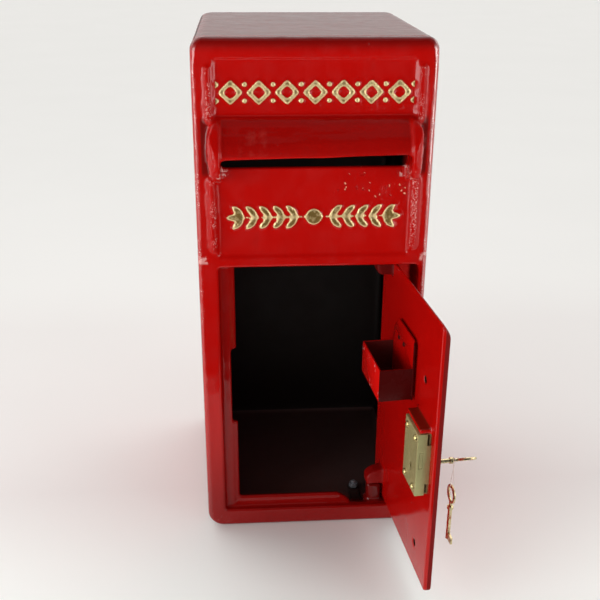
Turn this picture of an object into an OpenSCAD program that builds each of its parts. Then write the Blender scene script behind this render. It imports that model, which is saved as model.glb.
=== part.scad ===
// Cast-iron letter box: a one-piece front casting bolted to a one-piece shell,
// a cast door on two vertical pins, a brass lever lock with its key and a
// spare key hanging from it on a thread, and a folded sheet pocket on the door.
// Millimetres. Z up, front towards -Y, origin at the centre of the base.

/* [Case] */
// Overall width of the box
case_w = 245; // [240:1:252]
// Overall height of the box
case_h = 570; // [568:1:600]
// Depth from the front face to the back face
case_d = 262; // [240:1:320]
// Wall thickness of the shell casting
wall_t = 5; // [4:0.5:6]
// Thickness of the floor
floor_t = 8; // [8:0.5:9]
// Radius of the two top corners, seen from the front
top_r = 13; // [10:1:15]
// Radius of the two bottom corners, seen from the front
bottom_r = 19; // [14:1:20]
// Thickness of the front casting's plate
plate_t = 10; // [9:0.5:11]

/* [Header and slot] */
// Depth of the sunk header panel
panel_sink = 3; // [2:0.5:4]
// Half width of the sunk header panel
panel_half = 100.5; // [98:0.5:101]
// Half width of the letter slot
slot_half = 95.5; // [93:0.5:96]
// Height of the slot's lower edge
slot_z0 = 441; // [440:1:444]
// Height of the slot's upper edge, behind the hood
slot_z1 = 468; // [462:1:470]
// How far the hood's lip stands out of the front face
hood_out = 26; // [22:1:30]
// Height of the raised ornament over the panel
relief = 2.4; // [1.5:0.1:2.6]

/* [Door] */
// How far the door stands open, 0 is shut
door_open = 96; // [0:1:102]
// Thickness of the door
door_t = 8; // [7:0.5:8]
// Distance of the hinge pins to the right of the middle
pivot_x = 78; // [77:0.5:79]
// Distance of the hinge pins behind the front face
pivot_y = 18.5; // [18:0.5:19]
// Radius of the hinge pins
pin_r = 4; // [3:0.5:4.5]
// Running clearance of the hinge pins in the door's arms, on the radius
pin_clear = 0.08; // [0.05:0.01:0.1]

/* [Lock and keys] */
// Distance of the key's axis from the middle, door shut
key_x = -70.4; // [-71:0.1:-70]
// Height of the key's axis
key_z = 166.5; // [166:0.1:167]
// Radius of the key's shank
shank_r = 2.3; // [2:0.1:2.4]
// Reach of the key's bit from its axis
bit_r = 11.3; // [10:0.1:11.5]
// Angle of the key from hanging straight down
key_turn = 56; // [50:1:60]
// Drop of the spare key's bow below the key's axis
spare_drop = 31; // [28:1:34]
// Radius of the thread
thread_r = 0.3; // [0.25:0.05:0.4]

/* [Hidden] */
RED = [0.60, 0.05, 0.045];
BRASS = [0.66, 0.58, 0.33];
STEEL = [0.55, 0.55, 0.56];
$fn = 48;

// door opening in the plate
op_x0 = -101; op_x1 = 112.6; op_z0 = 22.5; op_z1 = 333;
// stop surface the shut door rests on, and the back of the stop
stop_y = 8.5; stop_y1 = 15;
// edges of the door, shut
dx0 = -99.5; dx1 = 111; dz0 = 24.5; dz1 = 331.5;
// lock case, door shut
lx0 = -89.5; lx1 = -47; lz0 = 141; lz1 = 212; ly0 = 9.5; ly1 = 22; lt = 1.5;
// pocket, door shut
pk_x0 = -28; pk_x1 = 44; pk_z0 = 217; pk_z1 = 252.5; pk_y0 = 10.5; pk_y1 = 46.5; pk_t = 1.5;
// fixings
fix_y = 53.5; fix_xr = 59; fix_xl = -96; up_x = 98; up_z = 547;

// moves a piece drawn with the front face on Y = 0 to the row's origin
module at() translate([0, -case_d / 2, 0]) children();
// turns a piece drawn on the shut door to where the door stands
module on_door() translate([pivot_x, pivot_y, 0]) rotate([0, 0, door_open]) translate([-pivot_x, -pivot_y, 0]) children();
// extrudes an XZ outline from y0 to y1
module slab(y0, y1) translate([0, y1, 0]) rotate([90, 0, 0]) linear_extrude(y1 - y0) children();
// extrudes a YZ outline from x0 to x1
module along_x(x0, x1) translate([x0, 0, 0]) rotate([90, 0, 90]) linear_extrude(x1 - x0) children();
// box from its two corners
module box(a, b) translate(a) cube([b[0] - a[0], b[1] - a[1], b[2] - a[2]]);
// cylinder along Y from y0 to y1
module ycyl(x, z, y0, y1, r) translate([x, y1, z]) rotate([90, 0, 0]) cylinder(r = r, h = y1 - y0);
// rounded outline, radii rt above and rb below
module outline(x0, x1, z0, z1, rt, rb) union() {
  translate([x0, z0 + rb]) square([x1 - x0, z1 - z0 - rb - rt]);
  translate([x0 + rb, z0]) square([x1 - x0 - 2 * rb, rb + 1]);
  translate([x0 + rt, z1 - rt - 1]) square([x1 - x0 - 2 * rt, rt + 1]);
  for (s = [0, 1]) {
    translate([s == 0 ? x0 + rb : x1 - rb, z0 + rb]) circle(r = rb);
    translate([s == 0 ? x0 + rt : x1 - rt, z1 - rt]) circle(r = rt);
  }
}
// half-round bead standing on the front, from z0 to z1
module bead(x, z0, z1, r, y) union() {
  translate([x, y, z0 + r]) cylinder(r = r, h = z1 - z0 - 2 * r);
  translate([x, y, z0 + r]) sphere(r = r);
  translate([x, y, z1 - r]) sphere(r = r);
}

// ---------------------------------------------------------------- castings
module body_shell() color(RED) at() difference() {
  union() {
    difference() {
      slab(plate_t, case_d) outline(-case_w / 2, case_w / 2, 0, case_h, top_r, bottom_r);
      slab(plate_t - 1, case_d - wall_t)
        outline(-case_w / 2 + wall_t, case_w / 2 - wall_t, floor_t, case_h - wall_t, top_r - wall_t, bottom_r - 11);
    }
    // lugs under the top that take the upper bolts
    for (s = [-1, 1]) box([s * up_x - 8, 24.5, up_z - 10], [s * up_x + 8, 34.5, case_h - 4]);
  }
  for (s = [-1, 1]) ycyl(s * up_x, up_z, 20, 40, 4.4);
  // countersunk holes through the floor
  for (x = [fix_xl, fix_xr]) translate([x, fix_y, 0]) {
    translate([0, 0, -1]) cylinder(r = 3.3, h = 20);
    translate([0, 0, -0.01]) cylinder(r1 = 6.6, r2 = 3.3, h = 3.6);
  }
  // four fixing holes through the back
  for (x = [-70, 70], z = [300, 500]) ycyl(x, z, case_d - 12, case_d + 2, 4.5);
}

// sloping roof of the hood and its two rounded cheeks
module hood() union() {
  along_x(-104, 104) polygon([[4, 494], [-1, 493.2], [-5, 491], [-10, 486.5], [-hood_out + 4, 471], [-hood_out + 1, 464.5], [-hood_out, 461],
    [-hood_out, 458.6], [-hood_out + 1.5, 457], [-hood_out + 3.6, 457.2], [-hood_out + 6, 460], [-9.5, 477], [-4, 482.5], [4, 484.5]]);
  for (s = [-1, 1]) intersection() {
    along_x(s < 0 ? -108.3 : slot_half, s < 0 ? -slot_half : 108.3)
      polygon([[4, 494.5], [-3, 493.3], [-9, 490], [-15, 484.3], [-hood_out + 0.3, 467.5], [-hood_out - 2, 460.5], [-hood_out - 2, 453],
        [-hood_out - 0.8, 446], [-hood_out + 3, 439], [-hood_out + 8, 433.6], [-hood_out + 15.5, 430], [4, 427.5]]);
    // rounded seen from the front
    slab(-hood_out - 4, 4) polygon([for (q = [[94, 495], [98.5, 493], [102.6, 488.3], [105.6, 482], [107.6, 474.5], [108.3, 466], [108.3, 457],
      [107.6, 448.5], [106, 440.5], [103.4, 433.5], [100.2, 429], [94, 427]]) [s * q[0], q[1]]]);
    // and from above
    translate([0, 0, 420]) linear_extrude(80) polygon([for (q = [[94, 5], [108.3, 5], [108.3, -10], [107.4, -16.5], [105.2, -22], [102.3, -26],
      [99.5, -hood_out - 1.8], [97.5, -hood_out - 2], [94, -hood_out - 1]]) [s * q[0], q[1]]]);
  }
}

// raised ornament: a row of open lozenges and studs above, two sprays of leaves below
module lozenge(x, z, w, h, t) slab(panel_sink - relief, panel_sink + 1) translate([x, z]) difference() {
  polygon([[-w / 2, 0], [0, -h / 2], [w / 2, 0], [0, h / 2]]);
  polygon([[-w / 2 + t, 0], [0, -h / 2 + t], [w / 2 - t, 0], [0, h / 2 - t]]);
}
module leaf(x, z, a, l, w) let(d = (l * l / 4 - w * w / 4) / w, r = d + w / 2)
  slab(panel_sink - relief, panel_sink + 1) translate([x, z]) rotate(a) translate([l / 2, 0]) intersection() {
    translate([0, d]) circle(r = r, $fn = 72);
    translate([0, -d]) circle(r = r, $fn = 72);
  }
module ornament() union() {
  for (i = [-3 : 3]) lozenge(i * 28, 517, 25, 25, 5.2);
  for (i = [-3.5 : 1 : 3.5]) for (s = [-1, 1]) ycyl(i * 28, 517 + s * 8, panel_sink - relief, panel_sink + 1, 2.7);
  ycyl(0, 388.5, panel_sink - relief, panel_sink + 1, 8.5);
  for (s = [-1, 1]) {
    box([s > 0 ? 8 : -84, panel_sink - relief + 0.7, 387.4], [s > 0 ? 84 : -8, panel_sink + 1, 389.6]);
    for (i = [0 : 4]) for (t = [-1, 1]) leaf(s * (17 + i * 14), 388.5 + t * 1.5, s > 0 ? t * 42 : 180 - t * 42, 17, 6.4);
    leaf(s * 76, 388.5, s > 0 ? 0 : 180, 16, 6.4);
  }
}

module front_frame() color(RED) at() difference() {
  union() {
    difference() {
      slab(0, plate_t) outline(-case_w / 2, case_w / 2, 0, case_h, top_r, bottom_r);
      // sunk panel of the header
      box([-panel_half, -1, 345], [panel_half, panel_sink, 550]);
      // door opening
      box([op_x0, -1, op_z0], [op_x1, plate_t + 1, op_z1]);
      // swing relief for the door's hinge edge
      translate([pivot_x, pivot_y, op_z0]) cylinder(r = 38.9, h = op_z1 - op_z0, $fn = 96);
    }
    hood();
    for (s = [-1, 1]) {
      bead(s * 106.6, 486, 544, 3.4, 0.4);
      bead(s * 105.3, 351, 433, 4.9, 1.2);
    }
    ornament();
    // stop at the left, with its inner bead broken for the lock
    box([-111, stop_y, 15], [-90.5, stop_y1, 341]);
    for (z = [[24, 138.5], [232, 340]]) {
      box([-91, 10.9, z[0]], [-87.2, 17.1, z[1]]);
      translate([-87.2, 14, z[0]]) cylinder(r = 3.1, h = z[1] - z[0]);
    }
    // stop at the bottom, its bead falling away before the hinge
    box([-111, stop_y, 9.5], [48, stop_y1, 25.5]);
    box([47, stop_y, 9.5], [68, stop_y1, 20.5]);
    box([-91, 10.9, 22], [34, 17.1, 30.9]);
    translate([-88, 14, 30.9]) rotate([0, 90, 0]) cylinder(r = 3.1, h = 122);
    slab(11.4, 16.6) polygon([[32, 20], [49, 20], [48, 24.4], [45, 27], [39, 30.8], [34, 33.6], [32, 33.8]]);
    // lower hinge boss and its seat
    box([67, stop_y, 9.5], [94, 28, 22]);
    intersection() {
      box([pivot_x - 8.8, pivot_y - 8.8, 10], [pivot_x + 8.8, pivot_y + 8.8, 45.3]);
      translate([pivot_x, pivot_y, 9]) cylinder(r = 10.1, h = 38);
    }
    // upper hinge boss, hidden behind the header
    box([66, stop_y, 334], [90, 24, 348]);
    translate([pivot_x, pivot_y, 332.3]) cylinder(r = 9.5, h = 15.7);
    // two feet that lie on the floor
    box([fix_xr - 7, stop_y, floor_t], [fix_xr + 7, 62, 13]);
    box([fix_xl - 7, stop_y, floor_t], [fix_xl + 7, 62, 13]);
    // two tapped lugs at the top
    for (s = [-1, 1]) box([s * up_x - 8, stop_y, up_z - 9], [s * up_x + 8, 24.5, up_z + 9]);
  }
  // letter slot
  box([-slot_half, -1, slot_z0], [slot_half, plate_t + 1, slot_z1]);
  // hinge pin bores
  translate([pivot_x, pivot_y, 14]) cylinder(r = pin_r, h = 40);
  translate([pivot_x, pivot_y, 330]) cylinder(r = pin_r, h = 14);
  // bolt holes
  for (x = [fix_xl, fix_xr]) translate([x, fix_y, floor_t - 1]) cylinder(r = 3.3, h = 8);
  for (s = [-1, 1]) ycyl(s * up_x, up_z, 13, 26, 4);
}

// ---------------------------------------------------------------- fixings
module hex(af, h) cylinder(r = af / 2 / cos(30), h = h, $fn = 6);
module upper_bolts() color(STEEL) at() for (s = [-1, 1]) {
  ycyl(s * up_x, up_z, 13.5, 34.6, 4);
  translate([s * up_x, 39.8, up_z]) rotate([90, 0, 0]) hex(13, 5.3);
}
module floor_bolts() color(STEEL) at() for (x = [fix_xl, fix_xr]) translate([x, fix_y, 0]) {
  translate([0, 0, 0.4]) cylinder(r1 = 6.1, r2 = 3, h = 3.1);
  translate([0, 0, 3]) cylinder(r = 3, h = 18.2);
  translate([0, 0, 21.2]) cylinder(r1 = 3, r2 = 2.2, h = 0.8);
}
module floor_washers() color(STEEL) at() for (x = [fix_xl, fix_xr]) translate([x, fix_y, 13]) difference() {
  cylinder(r = 6, h = 1.4);
  translate([0, 0, -1]) cylinder(r = 3.2, h = 4);
}
module floor_nuts() color(STEEL) at() for (x = [fix_xl, fix_xr]) translate([x, fix_y, 14.4]) difference() {
  intersection() {
    hex(10, 5);
    translate([0, 0, -1]) cylinder(r1 = 6.6, r2 = 4.9, h = 7);
  }
  translate([0, 0, -1]) cylinder(r = 3, h = 8);
}
module hinge_pin_lower() color(STEEL) at() translate([pivot_x, pivot_y, 14]) union() {
  cylinder(r = pin_r, h = 42);
  translate([0, 0, 42]) cylinder(r1 = pin_r, r2 = pin_r - 1, h = 1);
}
module hinge_pin_upper() color(STEEL) at() translate([pivot_x, pivot_y, 320.5]) union() {
  translate([0, 0, 1]) cylinder(r = pin_r, h = 22.5);
  cylinder(r1 = pin_r - 1, r2 = pin_r, h = 1);
}

// ---------------------------------------------------------------- door
module keyhole(y0, y1, r, w, l) union() {
  ycyl(key_x, key_z, y0, y1, r);
  box([key_x - w / 2, y0, key_z - l], [key_x + w / 2, y1, key_z]);
}
module door() color(RED) at() on_door() difference() {
  union() {
    slab(0, door_t) outline(dx0, dx1, dz0, dz1, 5, 5);
    // cast ledge over the lock
    box([-89.3, door_t - 0.5, 212.6], [-44, 20.5, 217.6]);
    // lower and upper hinge arms
    along_x(69.5, 86.5) polygon([[door_t - 0.5, 45.8], [27.3, 45.8], [28.8, 47], [28.8, 56], [25.2, 60.3], [19.6, 63.6], [14, 64.8], [door_t - 0.5, 65.5]]);
    along_x(69.5, 86.5) polygon([[door_t - 0.5, 331.2], [25.5, 331.2], [26.8, 330], [26.8, 324], [24.9, 320], [21.5, 318], [door_t - 0.5, 317.6]]);
  }
  // shallow panel on the outer face
  slab(-1, 1.2) outline(dx0 + 13, dx1 - 13, dz0 + 13, dz1 - 13, 4, 4);
  // keyhole
  keyhole(-2, door_t + 2, 3, 3, 12);
  // two plain holes
  for (z = [57, 255]) ycyl(-57, z, -2, door_t + 2, 3.6);
  // tapped holes for the lock's screws and the pocket's rivets
  for (x = [lx0 + 8, lx1 - 8], z = [lz0 + 6.5, lz1 - 7.5]) ycyl(x, z, 3.5, door_t + 1, 2);
  for (x = [6, 24]) ycyl(x, 264, 3.5, door_t + 1, 1.6);
  // hinge bores
  translate([pivot_x, pivot_y, 30]) cylinder(r = pin_r + pin_clear, h = 28.4);
  translate([pivot_x, pivot_y, 305]) cylinder(r = pin_r + pin_clear, h = 40);
}

// folded and welded sheet pocket with its tall back plate
module plate_pocket() color(RED) at() on_door() difference() {
  union() {
    // back plate with clipped upper corners
    slab(pk_y0, pk_y0 + pk_t) polygon([[pk_x0 - 2, pk_z0], [pk_x1 + 2, pk_z0], [pk_x1 + 2, 268], [pk_x1 - 16, 284], [pk_x0 + 3, 284], [pk_x0 - 2, 279]]);
    box([pk_x0, pk_y0, pk_z0], [pk_x1, pk_y1, pk_z0 + pk_t]);
    box([pk_x0, pk_y0, pk_z0], [pk_x0 + pk_t, pk_y1, pk_z1]);
    box([pk_x1 - pk_t, pk_y0, pk_z0], [pk_x1, pk_y1, pk_z1]);
    box([pk_x0, pk_y1 - pk_t, pk_z0], [pk_x1, pk_y1, pk_z1]);
  }
  for (x = [6, 24]) ycyl(x, 264, pk_y0 - 1, pk_y0 + pk_t + 1, 1.6);
}
module pocket_spacers() color(STEEL) at() on_door() for (x = [6, 24]) difference() {
  ycyl(x, 264, door_t, pk_y0, 3.4);
  ycyl(x, 264, door_t - 1, pk_y0 + 1, 1.6);
}
// domed head on a shank, its head's seat at y
module dome(x, z, y, r, h, shank, y_end) union() {
  let(R = (r * r + h * h) / (2 * h)) intersection() {
    translate([x, y + h - R, z]) sphere(r = R);
    ycyl(x, z, y, y + h + 1, r + 1);
  }
  ycyl(x, z, y_end, y + 0.2, shank);
}
module pocket_rivets() color(RED) at() on_door() for (x = [6, 24]) dome(x, 264, pk_y0 + pk_t, 2.8, 1.4, 1.6, 4);

// ---------------------------------------------------------------- lock
module lock_plate() color(BRASS) at() on_door() difference() {
  box([lx0 + 2.5, door_t, lz0 + 1.6], [lx1 - 1.6, ly0, lz1 - 1.6]);
  for (x = [lx0 + 8, lx1 - 8], z = [lz0 + 6.5, lz1 - 7.5]) ycyl(x, z, 6, 12, 2.1);
  keyhole(6, 12, 2.8, 2.8, 12);
}
module lock_case() color(BRASS) at() on_door() difference() {
  box([lx0, door_t, lz0], [lx1, ly1, lz1]);
  box([lx0 + lt, door_t - 1, lz0 + lt], [lx1 - lt, ly1 - lt, lz1 - lt]);
  for (x = [lx0 + 8, lx1 - 8], z = [lz0 + 6.5, lz1 - 7.5]) ycyl(x, z, 6, 30, 2.1);
  // keyhole in the face and mouth of the bolt
  keyhole(18, 24, 2.9, 2.4, 7.2);
  box([lx0 - 1, 15.5, 172.7], [lx0 + 3, 19.9, 191.3]);
  // corners cut back at the free side
  box([lx0 - 1, door_t - 1, lz0 - 1], [lx0 + lt + 0.5, 12.2, lz0 + 13]);
  box([lx0 - 1, door_t - 1, lz1 - 13], [lx0 + lt + 0.5, 12.2, lz1 + 1]);
}
module lock_screws() color(BRASS) at() on_door()
  for (x = [lx0 + 8, lx1 - 8], z = [lz0 + 6.5, lz1 - 7.5]) dome(x, z, ly1, 3.9, 2.8, 2, 4);
module lever_post() color(BRASS) at() on_door() ycyl(-52.6, 186, ly0, 15.3, 1.9);
module levers() color(BRASS) at() on_door() for (i = [0 : 2]) let(y = 10.2 + 1.7 * i)
  difference() {
    union() {
      slab(y, y + 1.2) polygon([[-55, 181], [-60, 179.4], [-80, 179.4], [-84, 183], [-84, 194], [-79, 198], [-60, 198], [-55, 192]]);
      ycyl(-53.6, 186.5, y, y + 1.2, 4.4);
    }
    ycyl(-52.6, 186, y - 1, y + 2, 1.96);
    // window for the bolt's stump
    box([-80.5, y - 1, 183.2], [-63, y + 2, 194.5]);
  }
module lever_springs() color(STEEL) at() on_door() for (i = [0 : 2]) let(y = 10.3 + 1.7 * i)
  slab(y, y + 1) polygon([[-60, 198], [-58.5, 198], [-60, 201], [-66, 203.4], [-77.6, 205], [-77.6, 204.5], [-66, 202.9], [-60.6, 200.6]]);
// bolt with its talon, cut out for the key's bit, and its stump
module lock_bolt() color(BRASS) at() on_door() union() {
  difference() {
    box([-89.2, 15.8, 173], [-49.6, 19.6, 191]);
    box([key_x - 1.6, 15, 172], [key_x + 13.6, 21, 178.6]);
  }
  ycyl(-66.2, 189.3, 10.3, 16, 1.6);
}

// ---------------------------------------------------------------- keys
// key along +Y: ring bow, neck, collar, shank and bit; the bit and the bow lie in the XZ-down plane
module key_form() union() {
  translate([0, -37.6, 0]) rotate([0, 90, 0]) rotate_extrude() translate([8.9, 0]) circle(r = 1.5, $fn = 20);
  translate([0, -23.4, 0]) rotate([90, 0, 0]) cylinder(r = 1.7, h = 5.1);
  translate([0, -22.5, 0]) rotate([90, 0, 0]) cylinder(r1 = 3.1, r2 = 2.2, h = 1.2);
  translate([0, -19.6, 0]) rotate([90, 0, 0]) cylinder(r = 3.4, h = 2.9);
  translate([0, 18.6, 0]) rotate([90, 0, 0]) cylinder(r = shank_r, h = 38.4);
  translate([0, 19.3, 0]) rotate([90, 0, 0]) cylinder(r1 = shank_r - 0.8, r2 = shank_r, h = 0.7);
  difference() {
    translate([-1.1, 10.5, -bit_r]) cube([2.2, 7.9, bit_r]);
    translate([-2, 12.6, -bit_r - 1]) cube([4, 1.1, 2.6]);
    translate([-2, 14.9, -bit_r - 1]) cube([4, 0.8, 3.6]);
  }
}
module key() color(BRASS) at() on_door() translate([key_x, 0, key_z]) rotate([0, -key_turn, 0]) key_form();

// place on the row of a point drawn on the shut door
function shown(p) = let(a = p[0] - pivot_x, b = p[1] - pivot_y)
  [pivot_x + cos(door_open) * a - sin(door_open) * b, pivot_y + sin(door_open) * a + cos(door_open) * b - case_d / 2, p[2]];
// neck of the key, direction along the door and direction of the key's axis
neck = shown([key_x, -24.6, key_z]);
ev = [cos(door_open), sin(door_open), 0];
av = [sin(door_open), -cos(door_open), 0];
module spare_key() color(BRASS) translate(neck + [0, 0, -spare_drop - 48]) rotate([0, 0, door_open - 90])
  rotate([-90, 0, 0]) key_form();

// thread: route points along the key's axis, along the door and up, from the neck
route = [[0, 1.7, 1.4], [0, 0.8, 2.05], [0, -0.4, 2.15], [0, -1.5, 1.6], [0, -2.1, 0.5], [0, -2.1, -1], [-0.1, -1.8, -4], [-0.4, -1.3, -9],
  [-0.9, -0.8, -16], [-1.4, -0.4, -22], [-1.8, -0.1, -27], [-1.9, 0, -31.2], [-1.75, 0, -33.1], [-1, 0, -34.15], [0, 0, -34.4], [1, 0, -34.15],
  [1.75, 0, -33.1], [1.9, 0, -31.2], [1.8, 0.1, -27], [1.4, 0.4, -22], [0.9, 0.9, -16], [0.4, 1.4, -9], [0.1, 1.9, -4], [0, 2.25, -1], [0, 2.25, 0.6]];
function at_neck(q) = neck + q[0] * av + q[1] * ev + [0, 0, q[2]];
// smooth curve through the points
function cat(a, b, c, d, t) = 0.5 * (2 * b + (c - a) * t + (2 * a - 5 * b + 4 * c - d) * t * t + (3 * b - a - 3 * c + d) * t * t * t);
function pick(i) = route[max(0, min(len(route) - 1, i))];
path = [for (i = [0 : len(route) - 2], k = [0 : 2]) at_neck(cat(pick(i - 1), pick(i), pick(i + 1), pick(i + 2), k / 3)), at_neck(route[len(route) - 1])];
function unit(v) = v / norm(v);
function tang(i) = unit(path[min(len(path) - 1, i + 1)] - path[max(0, i - 1)]);
function side(v, t) = unit(v - (v * t) * t);
function frames(i, v) = i >= len(path) ? [] : let(s = side(v, tang(i))) concat([s], frames(i + 1, s));
sides = frames(0, av);
module tube(r, n) polyhedron(
  points = [for (i = [0 : len(path) - 1], k = [0 : n - 1]) path[i] + r * (cos(360 * k / n) * sides[i] + sin(360 * k / n) * cross(tang(i), sides[i]))],
  faces = concat([[for (k = [0 : n - 1]) k]], [[for (k = [0 : n - 1]) len(path) * n - 1 - k]],
    [for (i = [0 : len(path) - 2], k = [0 : n - 1]) [i * n + k, (i + 1) * n + k, (i + 1) * n + (k + 1) % n, i * n + (k + 1) % n]]));
module key_thread() color([0.85, 0.82, 0.76]) tube(thread_r, 8);
module thread_knot() color([0.85, 0.82, 0.76]) translate(at_neck([0, 2.2, 1.15])) sphere(r = 0.65, $fn = 24);

body_shell();
front_frame();
upper_bolts();
floor_bolts();
floor_washers();
floor_nuts();
hinge_pin_lower();
hinge_pin_upper();
door();
plate_pocket();
pocket_spacers();
pocket_rivets();
lock_plate();
lock_case();
lock_screws();
lever_post();
levers();
lever_springs();
lock_bolt();
key();
spare_key();
key_thread();
thread_knot();
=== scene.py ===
import math

import bpy
import bmesh
import numpy as np
from mathutils import Matrix, Vector


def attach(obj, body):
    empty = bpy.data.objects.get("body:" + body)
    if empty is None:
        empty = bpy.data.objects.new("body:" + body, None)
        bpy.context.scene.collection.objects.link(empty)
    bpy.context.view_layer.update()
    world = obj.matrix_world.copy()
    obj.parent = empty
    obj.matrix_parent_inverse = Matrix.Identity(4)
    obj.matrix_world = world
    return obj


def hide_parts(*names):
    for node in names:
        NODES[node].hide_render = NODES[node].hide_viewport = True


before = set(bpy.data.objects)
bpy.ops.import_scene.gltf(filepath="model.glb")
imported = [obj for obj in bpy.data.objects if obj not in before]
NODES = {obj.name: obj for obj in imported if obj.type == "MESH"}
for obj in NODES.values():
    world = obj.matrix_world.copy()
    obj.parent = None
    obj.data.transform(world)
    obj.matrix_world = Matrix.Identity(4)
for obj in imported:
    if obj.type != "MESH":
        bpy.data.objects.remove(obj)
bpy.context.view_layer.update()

# ------------------------------------------------------------------ camera
CAM = Vector((-0.0759, -1.0080, 0.6699))
yaw, pitch, roll = (math.radians(a) for a in (3.9614, 23.1036, 0.3485))
d = Vector((math.sin(yaw) * math.cos(pitch), math.cos(yaw) * math.cos(pitch), -math.sin(pitch)))
r0 = Vector((math.cos(yaw), -math.sin(yaw), 0))
u0 = r0.cross(d)
right = math.cos(roll) * r0 + math.sin(roll) * u0
up = -math.sin(roll) * r0 + math.cos(roll) * u0
cam_data = bpy.data.cameras.new("camera")
cam_data.lens = 52.898
cam_data.sensor_width = 36
cam_data.shift_x = 0.00167
cam = bpy.data.objects.new("camera", cam_data)
bpy.context.scene.collection.objects.link(cam)
cam.matrix_world = Matrix((
    (right.x, up.x, -d.x, CAM.x),
    (right.y, up.y, -d.y, CAM.y),
    (right.z, up.z, -d.z, CAM.z),
    (0, 0, 0, 1)))
bpy.context.scene.camera = cam
bpy.context.scene.view_settings.view_transform = "Standard"


def link(o):
    bpy.context.scene.collection.objects.link(o)
    return o


# ------------------------------------------------------------------ thread
OPEN = math.radians(96)
PIVOT = Vector((0.078, -0.1125, 0))
EV = Vector((math.cos(OPEN), math.sin(OPEN), 0))
AV = Vector((math.sin(OPEN), -math.cos(OPEN), 0))


def shown(x, y, z):
    """Where a point of the shut door, in millimetres from the front face, stands."""
    a, b = x / 1000 - 0.078, y / 1000 - 0.0185
    return Vector((0.078 + math.cos(OPEN) * a - math.sin(OPEN) * b,
                   -0.1125 + math.sin(OPEN) * a + math.cos(OPEN) * b, z / 1000))


neck = shown(-70.4, -24.6, 166.5)
route = [(0, 1.7, 1.4), (0, 0.8, 2.05), (0, -0.4, 2.15), (0, -1.5, 1.6), (0, -2.1, 0.5), (0, -2.1, -1), (-0.1, -1.8, -4),
         (-0.4, -1.3, -9), (-0.9, -0.8, -16), (-1.4, -0.4, -22), (-1.8, -0.1, -27), (-1.9, 0, -31.2), (-1.75, 0, -33.1),
         (-1, 0, -34.15), (0, 0, -34.4), (1, 0, -34.15), (1.75, 0, -33.1), (1.9, 0, -31.2), (1.8, 0.1, -27), (1.4, 0.4, -22),
         (0.9, 0.9, -16), (0.4, 1.4, -9), (0.1, 1.9, -4), (0, 2.25, -1), (0, 2.25, 0.6)]
pts = [neck + AV * (p[0] / 1000) + EV * (p[1] / 1000) + Vector((0, 0, p[2] / 1000)) for p in route]
line = []
for i in range(len(pts) - 1):
    a, b, c, e = pts[max(0, i - 1)], pts[i], pts[i + 1], pts[min(len(pts) - 1, i + 2)]
    for k in range(6):
        t = k / 6
        line.append(0.5 * (2 * b + (c - a) * t + (2 * a - 5 * b + 4 * c - e) * t * t + (3 * b - a - 3 * c + e) * t ** 3))
line.append(pts[-1])
cu = bpy.data.curves.new("thread_loop", "CURVE")
cu.dimensions = "3D"
sp = cu.splines.new("POLY")
sp.points.add(len(line) - 1)
for q, p in zip(sp.points, line):
    q.co = (p.x, p.y, p.z, 1)
cu.bevel_depth = 0.0003
cu.bevel_resolution = 3
cu.use_fill_caps = True
thread = link(bpy.data.objects.new("thread_loop", cu))


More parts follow.
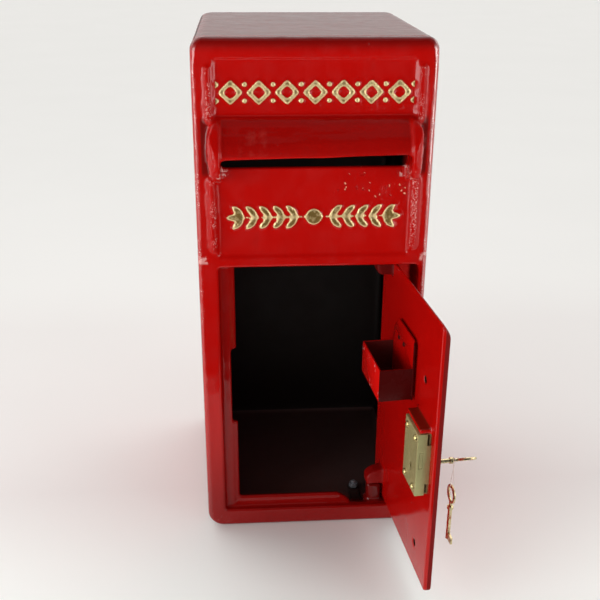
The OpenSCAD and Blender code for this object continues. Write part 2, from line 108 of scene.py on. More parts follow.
# ------------------------------------------------------------------ node tools
class Mat:
    """Short notation for one node material."""

    def __init__(self, name):
        self.m = bpy.data.materials.new(name)
        self.m.use_nodes = True
        self.t = self.m.node_tree
        self.b = self.t.nodes["Principled BSDF"]
        self.co = self.t.nodes.new("ShaderNodeTexCoord").outputs["Object"]

    def new(self, kind, **kw):
        n = self.t.nodes.new(kind)
        for k, v in kw.items():
            setattr(n, k, v)
        return n

    def put(self, sock, v):
        if isinstance(v, bpy.types.NodeSocket):
            self.t.links.new(v, sock)
        else:
            sock.default_value = v

    def scale(self, x=1.0, y=1.0, z=1.0, co=None):
        n = self.new("ShaderNodeVectorMath", operation="MULTIPLY")
        self.put(n.inputs[0], co or self.co)
        n.inputs[1].default_value = (x, y, z)
        return n.outputs[0]

    def noise(self, scale, detail=2.0, rough=0.5, co=None, distortion=0.0):
        n = self.new("ShaderNodeTexNoise")
        self.put(n.inputs["Vector"], co or self.co)
        n.inputs["Scale"].default_value = scale
        n.inputs["Detail"].default_value = detail
        n.inputs["Roughness"].default_value = rough
        n.inputs["Distortion"].default_value = distortion
        return n.outputs["Fac"]

    def voronoi(self, scale, feature="F1", co=None, rand=1.0, dims="3D"):
        n = self.new("ShaderNodeTexVoronoi", feature=feature, voronoi_dimensions=dims)
        self.put(n.inputs["Vector"], co or self.co)
        n.inputs["Scale"].default_value = scale
        n.inputs["Randomness"].default_value = rand
        return n.outputs["Distance"]

    def math(self, op, a, b=0.0, c=0.0, clamp=False):
        n = self.new("ShaderNodeMath", operation=op, use_clamp=clamp)
        self.put(n.inputs[0], a)
        self.put(n.inputs[1], b)
        if op in ("MULTIPLY_ADD", "SMOOTH_MIN", "SMOOTH_MAX"):
            self.put(n.inputs[2], c)
        return n.outputs[0]

    def ramp(self, v, lo, hi, a=0.0, b=1.0):
        n = self.new("ShaderNodeMapRange", interpolation_type="SMOOTHSTEP")
        self.put(n.inputs["Value"], v)
        n.inputs["From Min"].default_value = lo
        n.inputs["From Max"].default_value = hi
        n.inputs["To Min"].default_value = a
        n.inputs["To Max"].default_value = b
        return n.outputs[0]

    def mix(self, f, a, b):
        n = self.new("ShaderNodeMix", data_type="RGBA")
        self.put(n.inputs["Factor"], f)
        self.put(n.inputs[6], a if isinstance(a, bpy.types.NodeSocket) else (*a, 1))
        self.put(n.inputs[7], b if isinstance(b, bpy.types.NodeSocket) else (*b, 1))
        return n.outputs[2]

    def xyz(self):
        n = self.new("ShaderNodeSeparateXYZ")
        self.put(n.inputs[0], self.co)
        return n.outputs[0], n.outputs[1], n.outputs[2]

    def within(self, v, lo, hi, soft):
        """1 where v lies between lo and hi, falling off over soft."""
        return self.math("MULTIPLY", self.ramp(v, lo - soft, lo), self.ramp(v, hi, hi + soft, 1.0, 0.0))

    def mul(self, *v):
        out = v[0]
        for w in v[1:]:
            out = self.math("MULTIPLY", out, w)
        return out

    def add(self, *v):
        out = v[0]
        for w in v[1:]:
            out = self.math("ADD", out, w)
        return out

    def bump(self, height, dist, strength=1.0, normal=None):
        n = self.new("ShaderNodeBump")
        self.put(n.inputs["Height"], height)
        n.inputs["Distance"].default_value = dist
        n.inputs["Strength"].default_value = strength
        if normal is not None:
            self.put(n.inputs["Normal"], normal)
        return n.outputs[0]


RED_A, RED_B = (0.345, 0.0019, 0.0012), (0.405, 0.0025, 0.0014)
DARK = (0.010, 0.0055, 0.0045)
INSIDE = (0.034, 0.0150, 0.0130)
GOLD = (0.42, 0.30, 0.12)


def red_paint(name, zones=None, sparkle=None, waves=1.0, gloss=0.34):
    """Thick gloss enamel brushed and run over rough cast iron."""
    k = Mat(name)
    x, y, z = k.xyz()
    big = k.noise(9, 3)
    col = k.mix(big, RED_A, RED_B)
    # thinner, darker paint in small patches
    thin = k.ramp(k.noise(38, 4, 0.6), 0.60, 0.74)
    col = k.mix(k.mul(thin, 0.30), col, (0.27, 0.0016, 0.001))
    rough = k.add(k.ramp(k.noise(60, 3), 0.35, 0.7, 0.09, 0.17), k.mul(thin, 0.06))
    metal = None
    # slow waves of the casting, runs of thick paint, fine orange peel
    wave = k.noise(16, 2, 0.45)
    runs = k.noise(1.0, 3, 0.5, co=k.scale(75, 75, 14))
    peel = k.noise(420, 2, 0.5)
    nibs = k.ramp(k.voronoi(150), 0.04, 0.13, 1.0, 0.0)
    rare = k.ramp(k.noise(34, 1), 0.62, 0.70)
    n = k.bump(wave, 0.0045 * waves)
    n = k.bump(runs, 0.0011 * waves, normal=n)
    n = k.bump(peel, 0.00005, normal=n)
    n = k.bump(k.mul(nibs, rare), 0.0004, normal=n)
    if sparkle is not None:
        n = k.bump(k.mul(k.noise(520, 3, 0.7), sparkle(k, x, y, z)), 0.0016, normal=n)
        n = k.bump(drips(k, x, y, z), -0.0008, normal=n)
    k.gloss = gloss
    if zones is not None:
        col, rough, metal, n = zones(k, x, y, z, col, rough, n)
    b = k.b.inputs
    k.put(b["Base Color"], col)
    k.put(b["Roughness"], rough)
    if metal is not None:
        k.put(b["Metallic"], metal)
    k.put(b["Normal"], n)
    k.put(b["Specular IOR Level"], k.gloss)
    b["Coat Weight"].default_value = 0.0
    return k.m


def bead_rows(k, ax, z):
    """1 on the crests of the upper and lower beads at either side of the header."""
    upper = k.mul(k.within(ax, 0.1040, 0.1085, 0.0010), k.within(z, 0.489, 0.541, 0.002))
    lower = k.mul(k.within(ax, 0.1020, 0.1072, 0.0012), k.within(z, 0.354, 0.429, 0.002))
    return k.add(upper, lower)


def front_sparkle(k, x, y, z):
    ax = k.math("ABSOLUTE", x)
    edge = k.mul(k.ramp(k.noise(45, 2), 0.48, 0.62), k.ramp(ax, 0.116, 0.121), 0.35)
    return k.add(k.mul(bead_rows(k, ax, z), 0.22), edge)


def drips(k, x, y, z):
    """A scatter of small pits and dried drops in the paint under the slot's right end."""
    c = k.new("ShaderNodeCombineXYZ")
    k.put(c.inputs[0], k.add(x, k.mul(k.noise(170, 1), 0.006)))
    k.put(c.inputs[1], k.add(k.mul(z, 0.7), k.mul(x, 0.4)))
    dots = k.ramp(k.voronoi(170, co=c.outputs[0], dims="2D"), 0.11, 0.20, 1.0, 0.0)
    return k.mul(dots, k.ramp(k.noise(60, 1), 0.46, 0.50), k.within(x, 0.024, 0.097, 0.004), k.within(z, 0.409, 0.439, 0.003))


def flecks(k, x, y, z):
    """Small pale chips and dust marks in the enamel, with painted highlights: the flecks on the beads, at the header's
    foot and at the slot's lower corners, and the colour of the pits.
    """
    ax = k.math("ABSOLUTE", x)
    tiny = k.ramp(k.noise(520, 2, 0.6), 0.64, 0.70)
    many = k.ramp(k.noise(1.0, 3, 0.6, co=k.scale(820, 820, 600)), 0.54, 0.61)
    heavy = k.mul(k.ramp(x, -0.01, 0.01), k.within(z, 0.380, 0.429, 0.012))
    # painted highlights: pale flecks on the beads stand in for their glints
    beads = k.mul(many, bead_rows(k, ax, z), k.math("MAXIMUM", k.ramp(k.noise(70, 2), 0.46, 0.62), k.mul(heavy, 0.9)),
                  k.math("ADD", 0.42, k.mul(heavy, 0.30)))
    pits = k.mul(drips(k, x, y, z), k.ramp(k.noise(240, 1), 0.46, 0.54), 0.75)
    corner = k.mul(tiny, k.within(x, -0.115, -0.090, 0.004), k.within(z, 0.006, 0.018, 0.002), k.ramp(k.noise(90, 1), 0.45, 0.6))
    rim = k.mul(many, k.ramp(ax, 0.1170, 0.1190), k.ramp(k.noise(50, 2), 0.50, 0.60), k.ramp(z, 0.20, 0.36), 0.60)
    # painted highlights at the ends of the header's foot and at the slot's lower corners
    ends = k.mul(k.ramp(k.noise(150, 3, 0.6), 0.44, 0.56), k.within(ax, 0.1125, 0.1215, 0.0025), k.within(z, 0.3395, 0.3455, 0.0025), 0.45)
    slot = k.mul(k.ramp(k.noise(230, 3, 0.6), 0.53, 0.60), k.within(ax, 0.0895, 0.0985, 0.0020), k.within(z, 0.4315, 0.4415, 0.0020), 0.55)
    return k.math("MINIMUM", k.add(beads, corner, rim, ends, slot), 1.0), pits


def front_zones(k, x, y, z, col, rough, n):
    ax = k.math("ABSOLUTE", x)
    # painted shade: darker along the top edge, low down, in the rebate, on the hood's roof, beside the hood's caps and
    # on the lower hinge boss
    painted_shade = k.math("MAXIMUM", k.mul(k.ramp(z, 0.5540, 0.5650), 0.66), k.mul(k.ramp(z, 0.020, 0.150, 1.0, 0.0), 0.52))
    rebate = k.mul(k.ramp(y, -0.1295, -0.1270), k.ramp(z, 0.336, 0.340, 1.0, 0.0), 0.45)
    roof = k.mul(k.ramp(ax, 0.0925, 0.0950, 1.0, 0.0), k.within(z, 0.4600, 0.4905, 0.0020), k.ramp(y, -0.1350, -0.1320, 1.0, 0.0), 0.34)
    beside = k.mul(k.within(ax, 0.1086, 0.1135, 0.0022), k.within(z, 0.438, 0.488, 0.008), k.ramp(y, -0.1325, -0.1315), 0.75)
    foot = k.mul(k.ramp(x, 0.050, 0.058), k.ramp(z, 0.048, 0.060, 1.0, 0.0), k.ramp(y, -0.1250, -0.1230), 0.88)
    for more in (rebate, roof, beside, foot):
        painted_shade = k.math("MAXIMUM", painted_shade, more)
    col = k.mix(painted_shade, col, (0.085, 0.0030, 0.0026))
    # a rubbed patch on the hood
    rub = k.mul(k.within(x, -0.073, -0.052, 0.006), k.within(z, 0.462, 0.480, 0.005), k.ramp(k.noise(80, 3, 0.6), 0.40, 0.72), 0.10)
    col = k.mix(rub, col, (0.62, 0.13, 0.11))
    pale, pits = flecks(k, x, y, z)
    # pale chips, and painted highlights: flecks on the beads, at the header's foot and the slot's corners, and pale
    # orange on the drops
    col = k.mix(pale, col, (0.80, 0.50, 0.46))
    col = k.mix(pits, col, (0.86, 0.36, 0.22))
    k.gloss = k.add(0.34, k.ramp(ax, 0.1155, 0.1190, 0.0, 0.40), k.ramp(x, 0.1150, 0.1185, 0.0, 1.10))
    k.gloss = k.mul(k.gloss, k.math("SUBTRACT", 1.0, k.mul(k.ramp(ax, 0.1120, 0.1140, 1.0, 0.0), k.ramp(y, -0.1312, -0.1322), k.within(z, 0.349, 0.546, 0.003), 0.55)))
    # gilding on the raised ornament, brushed a little unevenly
    top = k.ramp(k.math("MULTIPLY_ADD", k.noise(330, 2), 0.0006, y), -0.12895, -0.12920, 0.0, 1.0)
    upper = k.mul(k.within(ax, -1.0, 0.0985, 0.0003), k.within(z, 0.5022, 0.5318, 0.0004))
    lower = k.mul(k.within(ax, -1.0, 0.0985, 0.0003), k.within(z, 0.372, 0.405, 0.0004))
    front = k.ramp(y, -0.1325, -0.1321, 0.0, 1.0)
    gold = k.mul(top, k.add(upper, lower), front)
    # painted light on the gilding: olive where flat, and paler along the edges as a painted highlight
    edge = k.ramp(k.math("MULTIPLY_ADD", k.noise(500, 2), 0.0003, y), -0.12996, -0.12968)
    patch = k.ramp(k.noise(240, 3), 0.48, 0.68)
    gcol = k.mix(k.math("MAXIMUM", edge, k.mul(patch, 0.45)), (0.225, 0.138, 0.036), (0.86, 0.66, 0.34))
    col = k.mix(gold, col, gcol)
    rough = k.add(k.mul(rough, k.math("SUBTRACT", 1.0, gold)), k.mul(gold, 0.30))
    metal = k.mul(gold, 0.55)
    n = k.bump(k.mul(k.noise(420, 3), gold), 0.0009, normal=n)
    # bare, dark back of the casting, and the joint with the shell
    inner = k.mul(k.ramp(ax, 0.1170, 0.1180, 1.0, 0.0), k.ramp(z, 0.5645, 0.5655, 1.0, 0.0))
    back = k.mul(k.ramp(k.math("MULTIPLY_ADD", k.noise(60, 3), 0.006, y), -0.1195, -0.1165), inner)
    back = k.mul(back, k.math("SUBTRACT", 1.0, k.mul(k.ramp(z, 0.336, 0.342, 1.0, 0.0), k.ramp(y, -0.108, -0.100, 1.0, 0.0))))
    seam = k.mul(k.ramp(y, -0.12215, -0.1216), k.math("SUBTRACT", 1.0, inner), 0.85)
    col = k.mix(k.math("MAXIMUM", back, seam), col, k.mix(seam, INSIDE, DARK))
    rough = k.add(rough, k.mul(back, 0.45), k.mul(seam, 0.4))
    return col, rough, metal, n


def shell_zones(k, x, y, z, col, rough, n):
    ax = k.math("ABSOLUTE", x)
    # inside of the shell: dark primer, with red overspray near the front; on the right wall by the hinge the red is
    # brighter than the body's, as painted light, and the lowest inside surfaces are lighter, also painted light
    inside = k.mul(k.ramp(ax, 0.1188, 0.1195, 1.0, 0.0), k.ramp(z, 0.5668, 0.5676, 1.0, 0.0), k.ramp(z, 0.0015, 0.0025),
                   k.ramp(y, 0.1280, 0.1288, 1.0, 0.0))
    mist = k.mul(k.ramp(y, -0.118, -0.075, 0.30, 0.0), k.ramp(k.noise(30, 3), 0.35, 0.7))
    hinge_side = k.mul(k.ramp(x, 0.108, 0.114), k.ramp(y, -0.010, 0.020, 1.0, 0.0), k.ramp(z, 0.24, 0.28))
    col = k.mix(inside, col, k.mix(k.math("MAXIMUM", mist, hinge_side), k.mix(k.ramp(z, 0.0103, 0.0112), (0.092, 0.046, 0.042), (0.0120, 0.0070, 0.0060)), (0.88, 0.012, 0.009)))
    # painted shade on the top, greyed a little as a painted sheen
    dull = k.mul(k.ramp(z, 0.5690, 0.5698), 0.22)
    col = k.mix(dull, col, (0.30, 0.060, 0.020))
    k.gloss = k.math("ADD", 0.34, k.mul(k.ramp(ax, 0.1195, 0.1215), 0.45))
    seam = k.mul(k.ramp(y, -0.12040, -0.11985, 1.0, 0.0), 0.85)
    col = k.mix(seam, col, DARK)
    rough = k.add(rough, k.mul(inside, 0.40), k.mul(seam, 0.4))
    return col, rough, None, n


def door_axes(k):
    """Distance from the hinge along the door, and across it."""
    out = []
    for v in (EV, AV):
        m = k.new("ShaderNodeVectorMath", operation="DOT_PRODUCT")
        k.put(m.inputs[0], k.co)
        m.inputs[1].default_value = tuple(v)
        out.append(k.math("SUBTRACT", m.outputs["Value"], float(v.dot(PIVOT))))
    return out


def door_zones(k, x, y, z, col, rough, n):
    u, v = door_axes(k)
    # painted shade on the narrow edges, with a few pale chips
    edge = k.mul(k.math("MAXIMUM", k.ramp(u, -0.1768, -0.1758, 1.0, 0.0), k.ramp(z, 0.3210, 0.3225)), k.ramp(v, 0.0128, 0.0140))
    # painted shade on the top of the ledge over the lock
    ledge = k.mul(k.ramp(z, 0.2166, 0.2174), k.ramp(z, 0.2186, 0.2190, 1.0, 0.0), k.ramp(v, 0.0085, 0.0095, 1.0, 0.0), 0.70)
    col = k.mix(ledge, col, (0.085, 0.0120, 0.0050))
    # painted shade on the door's hinge arms
    arm = k.mul(k.ramp(v, 0.0095, 0.0105, 1.0, 0.0), k.math("MAXIMUM", k.ramp(z, 0.066, 0.082, 0.60, 0.0), k.ramp(z, 0.308, 0.318)), k.ramp(u, -0.032, -0.012))
    col = k.mix(k.mul(edge, 0.72), col, (0.075, 0.0020, 0.0018))
    col = k.mix(k.mul(arm, 0.82), col, (0.060, 0.0022, 0.0022))
    edge = k.math("MAXIMUM", edge, arm)
    chips = k.mul(k.ramp(k.noise(520, 2), 0.66, 0.71), k.ramp(k.noise(60, 2), 0.48, 0.58), k.ramp(z, 0.3270, 0.3290), k.ramp(v, 0.0175, 0.0180))
    col = k.mix(chips, col, (0.75, 0.66, 0.62))
    # painted shade inside the two plain holes
    du = k.math("ADD", u, 0.135)
    hole = None
    for z0 in (0.057, 0.255):
        dz = k.math("SUBTRACT", z, z0)
        r = k.math("SQRT", k.add(k.mul(du, du), k.mul(dz, dz)))
        h = k.ramp(r, 0.0037, 0.0043, 1.0, 0.0)
        hole = h if hole is None else k.math("MAXIMUM", hole, h)
    col = k.mix(hole, col, DARK)
    rough = k.add(rough, k.mul(edge, 0.35), k.mul(hole, 0.5))
    k.gloss = k.mul(0.34, k.math("SUBTRACT", 1.0, k.math("MAXIMUM", k.mul(edge, 0.7), hole)))
    return col, rough, None, n


def sheet_zones(k, x, y, z, col, rough, n):
    u, v = door_axes(k)
    # painted shade inside the pocket and on the side that looks forward; the pocket's front face is a brighter red
    side = k.ramp(u, -0.1056, -0.1050, 1.0, 0.0)
    col = k.mix(k.mul(k.ramp(v, -0.0274, -0.0278), 0.55), col, (0.66, 0.0080, 0.0060))
    col = k.mix(k.mul(side, 0.93), col, (0.030, 0.0014, 0.0014))
    k.gloss = k.math("SUBTRACT", 0.22, k.mul(side, 0.13))
    inner = k.mul(k.within(u, -0.1046, -0.0354, 0.0002), k.within(v, -0.0265, 0.0058, 0.0002), k.ramp(z, 0.2180, 0.2184),
                  k.ramp(z, 0.2522, 0.2526, 1.0, 0.0))
    col = k.mix(k.mul(inner, 0.80), col, DARK)
    chips = k.mul(k.ramp(k.noise(420, 2), 0.65, 0.70), k.ramp(k.noise(70, 2), 0.52, 0.60), k.ramp(v, -0.0270, -0.0278), 0.9)
    col = k.mix(chips, col, (0.72, 0.66, 0.64))
    rough = k.add(rough, k.mul(inner, 0.3), k.mul(side, 0.15))
    return col, rough, None, n


def metal(name, base_a, base_b, rough, scale=120, grain=(1, 1, 1), grain_depth=0.00002, tarnish=None, tarnish_amount=0.4,
          metallic=1.0):
    k = Mat(name)
    g = k.noise(1.0, 3, 0.6, co=k.scale(*[scale * v for v in grain]))
    col = k.mix(k.noise(85, 3), base_a, base_b)
    if tarnish is not None:
        spots = k.ramp(k.noise(160, 4, 0.65), 0.50, 0.72)
        col = k.mix(k.mul(spots, tarnish_amount), col, tarnish)
        r = k.add(k.ramp(g, 0.3, 0.7, rough * 0.8, rough * 1.25), k.mul(spots, 0.14))
    else:
        r = k.ramp(g, 0.3, 0.7, rough * 0.8, rough * 1.25)
    # painted light: the lock's side face towards the free edge gets a paler, greener brass than the rest, to offset the
    # red door it reflects
    if name == "satin_brass":
        col = k.mix(k.mul(k.ramp(door_axes(k)[0], -0.1672, -0.1668, 1.0, 0.0), 0.55), col, (0.42, 0.43, 0.20))
    k.put(k.b.inputs["Base Color"], col)
    k.put(k.b.inputs["Roughness"], r)
    k.b.inputs["Metallic"].default_value = metallic
    n = k.bump(g, grain_depth)
    n = k.bump(k.noise(60, 2), 0.0004, normal=n)
    k.put(k.b.inputs["Normal"], n)
    return k.m


M_FRONT = red_paint("enamel_front", front_zones, front_sparkle, 0.75)
M_SHELL = red_paint("enamel_shell", shell_zones, None, 0.2)
M_DOOR = red_paint("enamel_door", door_zones, None, 0.22)
M_SHEET = red_paint("enamel_sheet", sheet_zones, None, 0.05, 0.22)
M_RIVET = metal("dull_red", (0.020, 0.003, 0.003), (0.045, 0.004, 0.003), 0.8, metallic=0.0)
M_RIVET.node_tree.nodes["Principled BSDF"].inputs["Specular IOR Level"].default_value = 0.08
M_CASE = metal("satin_brass", (0.34, 0.285, 0.125), (0.40, 0.34, 0.16), 0.42, 500, (1, 1, 0.3), 0.00001,
               (0.20, 0.15, 0.06), 0.22, 0.45)
M_SCREW = metal("screw_brass", (0.46, 0.37, 0.15), (0.58, 0.48, 0.22), 0.30, 300, tarnish=(0.16, 0.11, 0.04), tarnish_amount=0.6)
M_KEY = metal("key_brass", (0.56, 0.46, 0.25), (0.72, 0.62, 0.38), 0.27, 420, grain_depth=0.00004,
              tarnish=(0.40, 0.085, 0.045), tarnish_amount=0.9)
M_ZINC = metal("zinc_plate", (0.52, 0.53, 0.55), (0.68, 0.69, 0.70), 0.32, 500, tarnish=(0.22, 0.21, 0.18))
M_NUT = metal("bright_zinc", (0.20, 0.205, 0.225), (0.28, 0.285, 0.31), 0.32, 500, metallic=0.45)
M_DULL = metal("dull_steel", (0.07, 0.07, 0.07), (0.13, 0.13, 0.13), 0.45, 500, tarnish=(0.03, 0.028, 0.025))
M_SPRING = metal("spring_steel", (0.30, 0.31, 0.33), (0.42, 0.42, 0.43), 0.28, 500)
k = Mat("thread_fibre")
twist = k.noise(1.0, 2, co=k.scale(900, 900, 350))
k.put(k.b.inputs["Base Color"], k.mix(twist, (0.60, 0.55, 0.50), (0.80, 0.76, 0.72)))
k.put(k.b.inputs["Normal"], k.bump(twist, 0.0002))
k.b.inputs["Roughness"].default_value = 0.7
M_THREAD = k.m


# ------------------------------------------------------------------ mesh tools
def raw(node):
    """A clean copy of a CAD node's mesh, joined along its edges."""
    me = NODES[node].data.copy()
    bm = bmesh.new()
    bm.from_mesh(me)
    bmesh.ops.remove_doubles(bm, verts=bm.verts, dist=2e-6)
    bm.to_mesh(me)
    bm.free()
    me.materials.clear()
    return me


def evaluated(o):
    dg = bpy.context.evaluated_depsgraph_get()
    me = bpy.data.meshes.new_from_object(o.evaluated_get(dg))
    old = o.data
    o.modifiers.clear()
    o.data = me
    bpy.data.meshes.remove(old)
    return o


def coords(me):
    a = np.empty(len(me.vertices) * 3)
    me.vertices.foreach_get("co", a)
    return a.reshape(-1, 3)


def set_coords(me, a):
    me.vertices.foreach_set("co", np.ascontiguousarray(a, dtype=np.float64).ravel())
    me.update()


def relax(me, rounds, factor=0.5, weight=None):
    """Moves each point towards the middle of its neighbours."""
    e = np.empty(len(me.edges) * 2, np.int64)
    me.edges.foreach_get("vertices", e)
    e = e.reshape(-1, 2)
    n = len(me.vertices)
    deg = np.bincount(e.ravel(), minlength=n)[:, None].clip(1)
    c = coords(me)
    w = factor if weight is None else factor * weight[:, None]
    for _ in range(rounds):
        s = np.zeros_like(c)
        for i in range(3):
            s[:, i] = np.bincount(e[:, 0], c[e[:, 1], i], n) + np.bincount(e[:, 1], c[e[:, 0], i], n)
        c = c + w * (s / deg - c)
    set_coords(me, c)


def cast(node, name, voxel, rounds, turn=None, shape=None, keep=None):
    """A casting with soft edges: the node's own solid, taken through a fine voxel grid."""
    me = raw(node)
    if turn is not None:
        me.transform(turn.inverted())
    o = link(bpy.data.objects.new(name, me))
    md = o.modifiers.new("grid", "REMESH")
    md.mode = "VOXEL"
    md.voxel_size = voxel
    md.adaptivity = 0.0
    evaluated(o)
    relax(o.data, rounds)
    if shape is not None:
        c = coords(o.data)
        set_coords(o.data, shape(c))
    if keep is not None:
        md = o.modifiers.new("thin", "DECIMATE")
        md.ratio = keep
        evaluated(o)
    if turn is not None:
        o.data.transform(turn)
    o.data.polygons.foreach_set("use_smooth", [True] * len(o.data.polygons))
    o.data.update()
    return o


def crisp(node, name, width, segments=2, angle=32):
    """A made part with small worn edges."""
    me = raw(node)
    bm = bmesh.new()
    bm.from_mesh(me)
    bmesh.ops.dissolve_limit(bm, angle_limit=math.radians(1.2), verts=bm.verts, edges=bm.edges)
    bm.to_mesh(me)
    bm.free()
    o = link(bpy.data.objects.new(name, me))
    md = o.modifiers.new("edge", "BEVEL")
    md.width = width
    md.segments = segments
    md.limit_method = "ANGLE"
    md.angle_limit = math.radians(angle)
    md.use_clamp_overlap = True
    evaluated(o)
    o.data.polygons.foreach_set("use_smooth", [True] * len(o.data.polygons))
    o.data.set_sharp_from_angle(angle=math.radians(40))
    return o


def outline_distance(x, z, hx, z0, z1, rt, rb):
    """Signed distance to a rounded rectangle, negative inside."""
    zc, hz = (z0 + z1) / 2, (z1 - z0) / 2
    r = np.where(z > zc, rt, rb)
    qx, qz = np.abs(x) - hx + r, np.abs(z - zc) - hz + r
    return np.minimum(np.maximum(qx, qz), 0) + np.hypot(np.maximum(qx, 0), np.maximum(qz, 0)) - r


def round_rim(c, depth, R):
    """Rounds the rim between the outline and a flat end face at distance depth from it."""
    s = -outline_distance(c[:, 0], c[:, 2], 0.1225, 0.0, 0.570, 0.013, 0.019)
    v = depth
    near = (s < R) & (v < R) & (s > -0.001) & (v > -0.001)
    a, b = R - s, R - v
    ln = np.hypot(a, b)
    f = np.where(near & (ln > R), R / np.maximum(ln, 1e-9), 1.0)
    # outward direction of the outline, by differences
    h = 1e-5
    gx = (outline_distance(c[:, 0] + h, c[:, 2], 0.1225, 0, 0.570, 0.013, 0.019)
          - outline_distance(c[:, 0] - h, c[:, 2], 0.1225, 0, 0.570, 0.013, 0.019)) / (2 * h)
    gz = (outline_distance(c[:, 0], c[:, 2] + h, 0.1225, 0, 0.570, 0.013, 0.019)
          - outline_distance(c[:, 0], c[:, 2] - h, 0.1225, 0, 0.570, 0.013, 0.019)) / (2 * h)
    ds = a * (1 - f)
    dv = b * (1 - f)
    return gx, gz, ds, dv


def lumps(c, amp, size, seed):
    """Slow unevenness: a sum of a few plane waves, the same each run."""
    rng = np.random.default_rng(seed)
    out = np.zeros(len(c))
    for _ in range(14):
        w = rng.normal(size=3)
        w *= 2 * math.pi / (np.linalg.norm(w) * size * rng.uniform(0.7, 1.6))
        out += np.sin(c @ w + rng.uniform(0, 6.28))
    return out * amp / 14 ** 0.5


def shape_front(c):
    R = 0.0052 + 0.0030 * np.clip((c[:, 2] - 0.540) / 0.022, 0, 1)
    gx, gz, ds, dv = round_rim(c, c[:, 1] + 0.131, R)
    c = c.copy()
    c[:, 0] -= gx * ds
    c[:, 2] -= gz * ds
    c[:, 1] += dv
    # unevenness of the beads and edges
    fine = lumps(c, 0.00022, 0.009, 3) + lumps(c, 0.00014, 0.0045, 4)
    ax = np.abs(c[:, 0])
    w = ((ax > 0.100) & (ax < 0.112) & (c[:, 2] > 0.348) & (c[:, 2] < 0.547) & (c[:, 1] < -0.1295)).astype(float)
    c[:, 0] += fine * w
    c[:, 1] += np.roll(fine, 7) * w * 0.5
    # the hood sits a little higher on the right
    hood = np.clip((-0.1325 - c[:, 1]) / 0.018, 0, 1) * np.clip((c[:, 2] - 0.444) / 0.010, 0, 1) * (c[:, 2] < 0.50)
    c[:, 2] += 0.0024 * hood * c[:, 0] / 0.095
    cap = np.clip((np.abs(c[:, 0]) - 0.0945) / 0.0025, 0, 1) * np.clip((-0.1345 - c[:, 1]) / 0.006, 0, 1) * (c[:, 2] > 0.424) * (c[:, 2] < 0.497)
    c[:, 1] -= 0.0016 * cap
    c[:, 2] += 0.0010 * cap * (c[:, 2] > 0.462)
    lip = (c[:, 1] < -0.146) & (c[:, 2] > 0.44) & (np.abs(c[:, 0]) < 0.095)
    c[:, 1] += lumps(c, 0.00022, 0.03, 5) * lip
    c[:, 2] += lumps(c, 0.00030, 0.035, 6) * lip
    c[:, 2] = np.maximum(c[:, 2], 0.0)
    return c


def shape_door(c):
    """Rounded inner rim; the top edge falls away to the outer face."""
    c = c.copy()
    # depth from the inner face, and distance in from the free edge and the top
    v = -0.123 - c[:, 1]
    R = 0.0026
    slab = (v > -0.0005) & (v < R)
    for axis, s, sign in ((0, c[:, 0] + 0.0995, -1), (2, 0.3315 - c[:, 2], 1)):
        near = slab & (s < R) & (s > -0.0005)
        a, b = R - s, R - v
        ln = np.hypot(a, b)
        f = np.where(near & (ln > R), R / np.maximum(ln, 1e-9), 1.0)
        c[:, axis] -= sign * a * (1 - f)
        c[:, 1] -= b * (1 - f)
    v = -0.123 - c[:, 1]
    fall = 0.0085 * np.clip((v - 0.0022) / 0.0055, 0, 1)
    c[:, 2] -= fall * np.clip((c[:, 2] - 0.300) / 0.0315, 0, 1)
    return c


def shape_shell(c):
    gx, gz, ds, dv = round_rim(c, 0.131 - c[:, 1], 0.0045)
    c = c.copy()
    c[:, 0] -= gx * ds
    c[:, 2] -= gz * ds
    c[:, 1] -= dv
    return c


def finish_piece(o, mat, body, slot, *nodes):
    o.data.materials.clear()
    o.data.materials.append(mat)
    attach(o, body)
    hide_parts(*nodes)
    return o


TURN = Matrix.Translation(PIVOT) @ Matrix.Rotation(OPEN, 4, "Z") @ Matrix.Translation(-PIVOT)

front = cast("front_frame", "front_casting", 0.0016, 4, shape=shape_front, keep=0.62)
finish_piece(front, M_FRONT, "case", "red_cast_iron", "front_frame")
shell = cast("body_shell", "shell_casting", 0.0030, 3, shape=shape_shell, keep=0.5)
finish_piece(shell, M_SHELL, "case", "red_cast_iron", "body_shell")
door = cast("door", "door_casting", 0.0015, 4, turn=TURN, shape=shape_door, keep=0.6)
finish_piece(door, M_DOOR, "door", "red_cast_iron", "door")
pocket = crisp("plate_pocket", "folded_pocket", 0.0005, 2)
finish_piece(pocket, M_SHEET, "door", "red_sheet", "plate_pocket")
case = crisp("lock_case", "lock_cover", 0.0007, 3)
finish_piece(case, M_CASE, "door", "lock_brass", "lock_case")

for n, m in (("upper_bolts", M_ZINC), ("floor_bolts", M_NUT), ("floor_washers", M_DULL), ("floor_nuts", M_NUT),
             ("hinge_pin_lower", M_ZINC), ("hinge_pin_upper", M_ZINC), ("pocket_spacers", M_ZINC), ("pocket_rivets", M_RIVET),
             ("lock_plate", M_CASE), ("lock_screws", M_SCREW), ("lever_post", M_CASE), ("levers", M_CASE),
             ("lever_springs", M_SPRING), ("lock_bolt", M_CASE), ("key", M_KEY), ("spare_key", M_KEY),
             ("thread_knot", M_THREAD)):
    o = NODES[n]
    for s in o.material_slots:
        s.material = m
    if not o.material_slots:
        o.data.materials.append(m)

thread.data.materials.append(M_THREAD)
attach(thread, "spare")
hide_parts("key_thread")

# ------------------------------------------------------------------ floor and light
me = bpy.data.meshes.new("floor")
S = 14
me.from_pydata([(-S, -S, 0), (S, -S, 0), (S, S, 0), (-S, S, 0)], [], [(0, 1, 2, 3)])
floor = link(bpy.data.objects.new("floor", me))
floor.location.z = -0.0002
k = Mat("floor")
x, y, z = k.xyz()
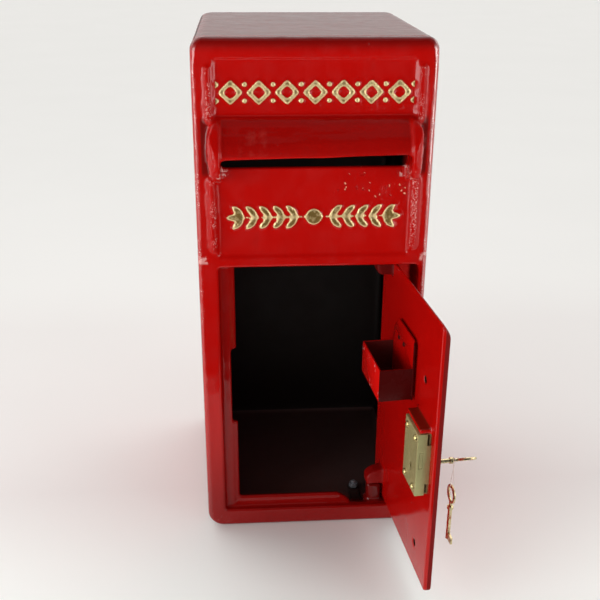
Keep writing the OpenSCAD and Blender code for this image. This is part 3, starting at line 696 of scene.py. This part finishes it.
# painted light on the floor: paler in front of the box, darker around and behind it, a little paler again far back
floor_light_ramp = k.math("SUBTRACT", k.ramp(y, -0.30, 0.05, 0.0, 1.25), k.ramp(y, 0.15, 0.70, 0.0, 0.45))
k.put(k.b.inputs["Base Color"], k.mix(k.noise(3, 2), k.mix(floor_light_ramp, (0.95, 0.985, 0.960), (0.78, 0.765, 0.755)),
                                      k.mix(floor_light_ramp, (0.96, 0.990, 0.970), (0.81, 0.795, 0.785))))
k.b.inputs["Roughness"].default_value = 0.85
k.b.inputs["Specular IOR Level"].default_value = 0.2
me.materials.append(k.m)


def card(name, corners):
    """A black card that only takes reflections away."""
    me = bpy.data.meshes.new(name)
    me.from_pydata(corners, [], [(0, 1, 2, 3)])
    o = link(bpy.data.objects.new(name, me))
    m = bpy.data.materials.new(name)
    m.use_nodes = True
    b = m.node_tree.nodes["Principled BSDF"]
    b.inputs["Base Color"].default_value = (0.004, 0.004, 0.004, 1)
    b.inputs["Roughness"].default_value = 1.0
    b.inputs["Specular IOR Level"].default_value = 0.0
    me.materials.append(m)
    o.visible_camera = False
    o.visible_diffuse = False
    o.visible_shadow = False
    o.visible_transmission = False
    o.visible_volume_scatter = False
    return o


card("card_low", [(-0.6, -6, 0.004), (0.6, -6, 0.004), (0.6, -0.44, 0.004), (-0.6, -0.44, 0.004)])
card("card_front", [(-2.2, -2.4, 0), (2.2, -2.4, 0), (2.2, -2.4, 5.0), (-2.2, -2.4, 5.0)])

for name, corners in (("flag_top", [(-0.30, -0.24, 0.92), (0.30, -0.24, 0.92), (0.30, 0.34, 0.92), (-0.30, 0.34, 0.92)]),
                      ("flag_back", [(-0.24, 0.46, 0.72), (0.24, 0.46, 0.72), (0.24, 0.46, 1.35), (-0.24, 0.46, 1.35)])):
    o = card(name, corners)
    o.visible_diffuse = True
    o.visible_shadow = True
    o.visible_glossy = False

world = bpy.data.worlds.new("world")
bpy.context.scene.world = world
world.use_nodes = True
wt = world.node_tree
bg = wt.nodes["Background"]


class Sky(Mat):
    """The same notation for the room's light, by direction."""

    def __init__(self, tree):
        self.t = tree
        self.co = tree.nodes.new("ShaderNodeTexCoord").outputs["Generated"]


k = Sky(wt)
x, y, z = k.xyz()
behind = k.ramp(y, -0.15, 0.45)
high = k.ramp(z, 0.16, 0.42)
low_side = k.mul(k.ramp(k.math("ABSOLUTE", x), 0.45, 0.85), k.ramp(z, 0.30, 0.55, 1.0, 0.0))
L_back = k.add(0.57, k.mul(high, 1.42))
L_front = k.ramp(z, 0.10, 0.40, 0.52, 0.27)
total = k.add(L_front, k.mul(behind, k.math("SUBTRACT", L_back, L_front)), k.mul(low_side, 0.70))
bg.inputs[0].default_value = (0.985, 0.975, 0.955, 1)
k.put(bg.inputs[1], total)


def softbox(name, loc, at, sx, sy, watts, colour=(1, 1, 1)):
    L = bpy.data.lights.new(name, "AREA")
    L.shape = "RECTANGLE"
    L.size, L.size_y = sx, sy
    L.energy = watts
    L.color = colour
    o = link(bpy.data.objects.new(name, L))
    o.location = loc
    o.rotation_mode = "QUATERNION"
    o.rotation_quaternion = (Vector(at) - Vector(loc)).to_track_quat("-Z", "Y")
    return o


softbox("left", (-1.5, -1.0, 0.5), (0, -0.13, 0.3), 1.0, 0.9, 15)
softbox("right", (1.5, -1.1, 0.5), (0, -0.13, 0.3), 0.9, 0.9, 9)
softbox("front", (-0.45, -1.7, 0.55), (0, -0.13, 0.3), 1.2, 0.8, 3.2).visible_glossy = False
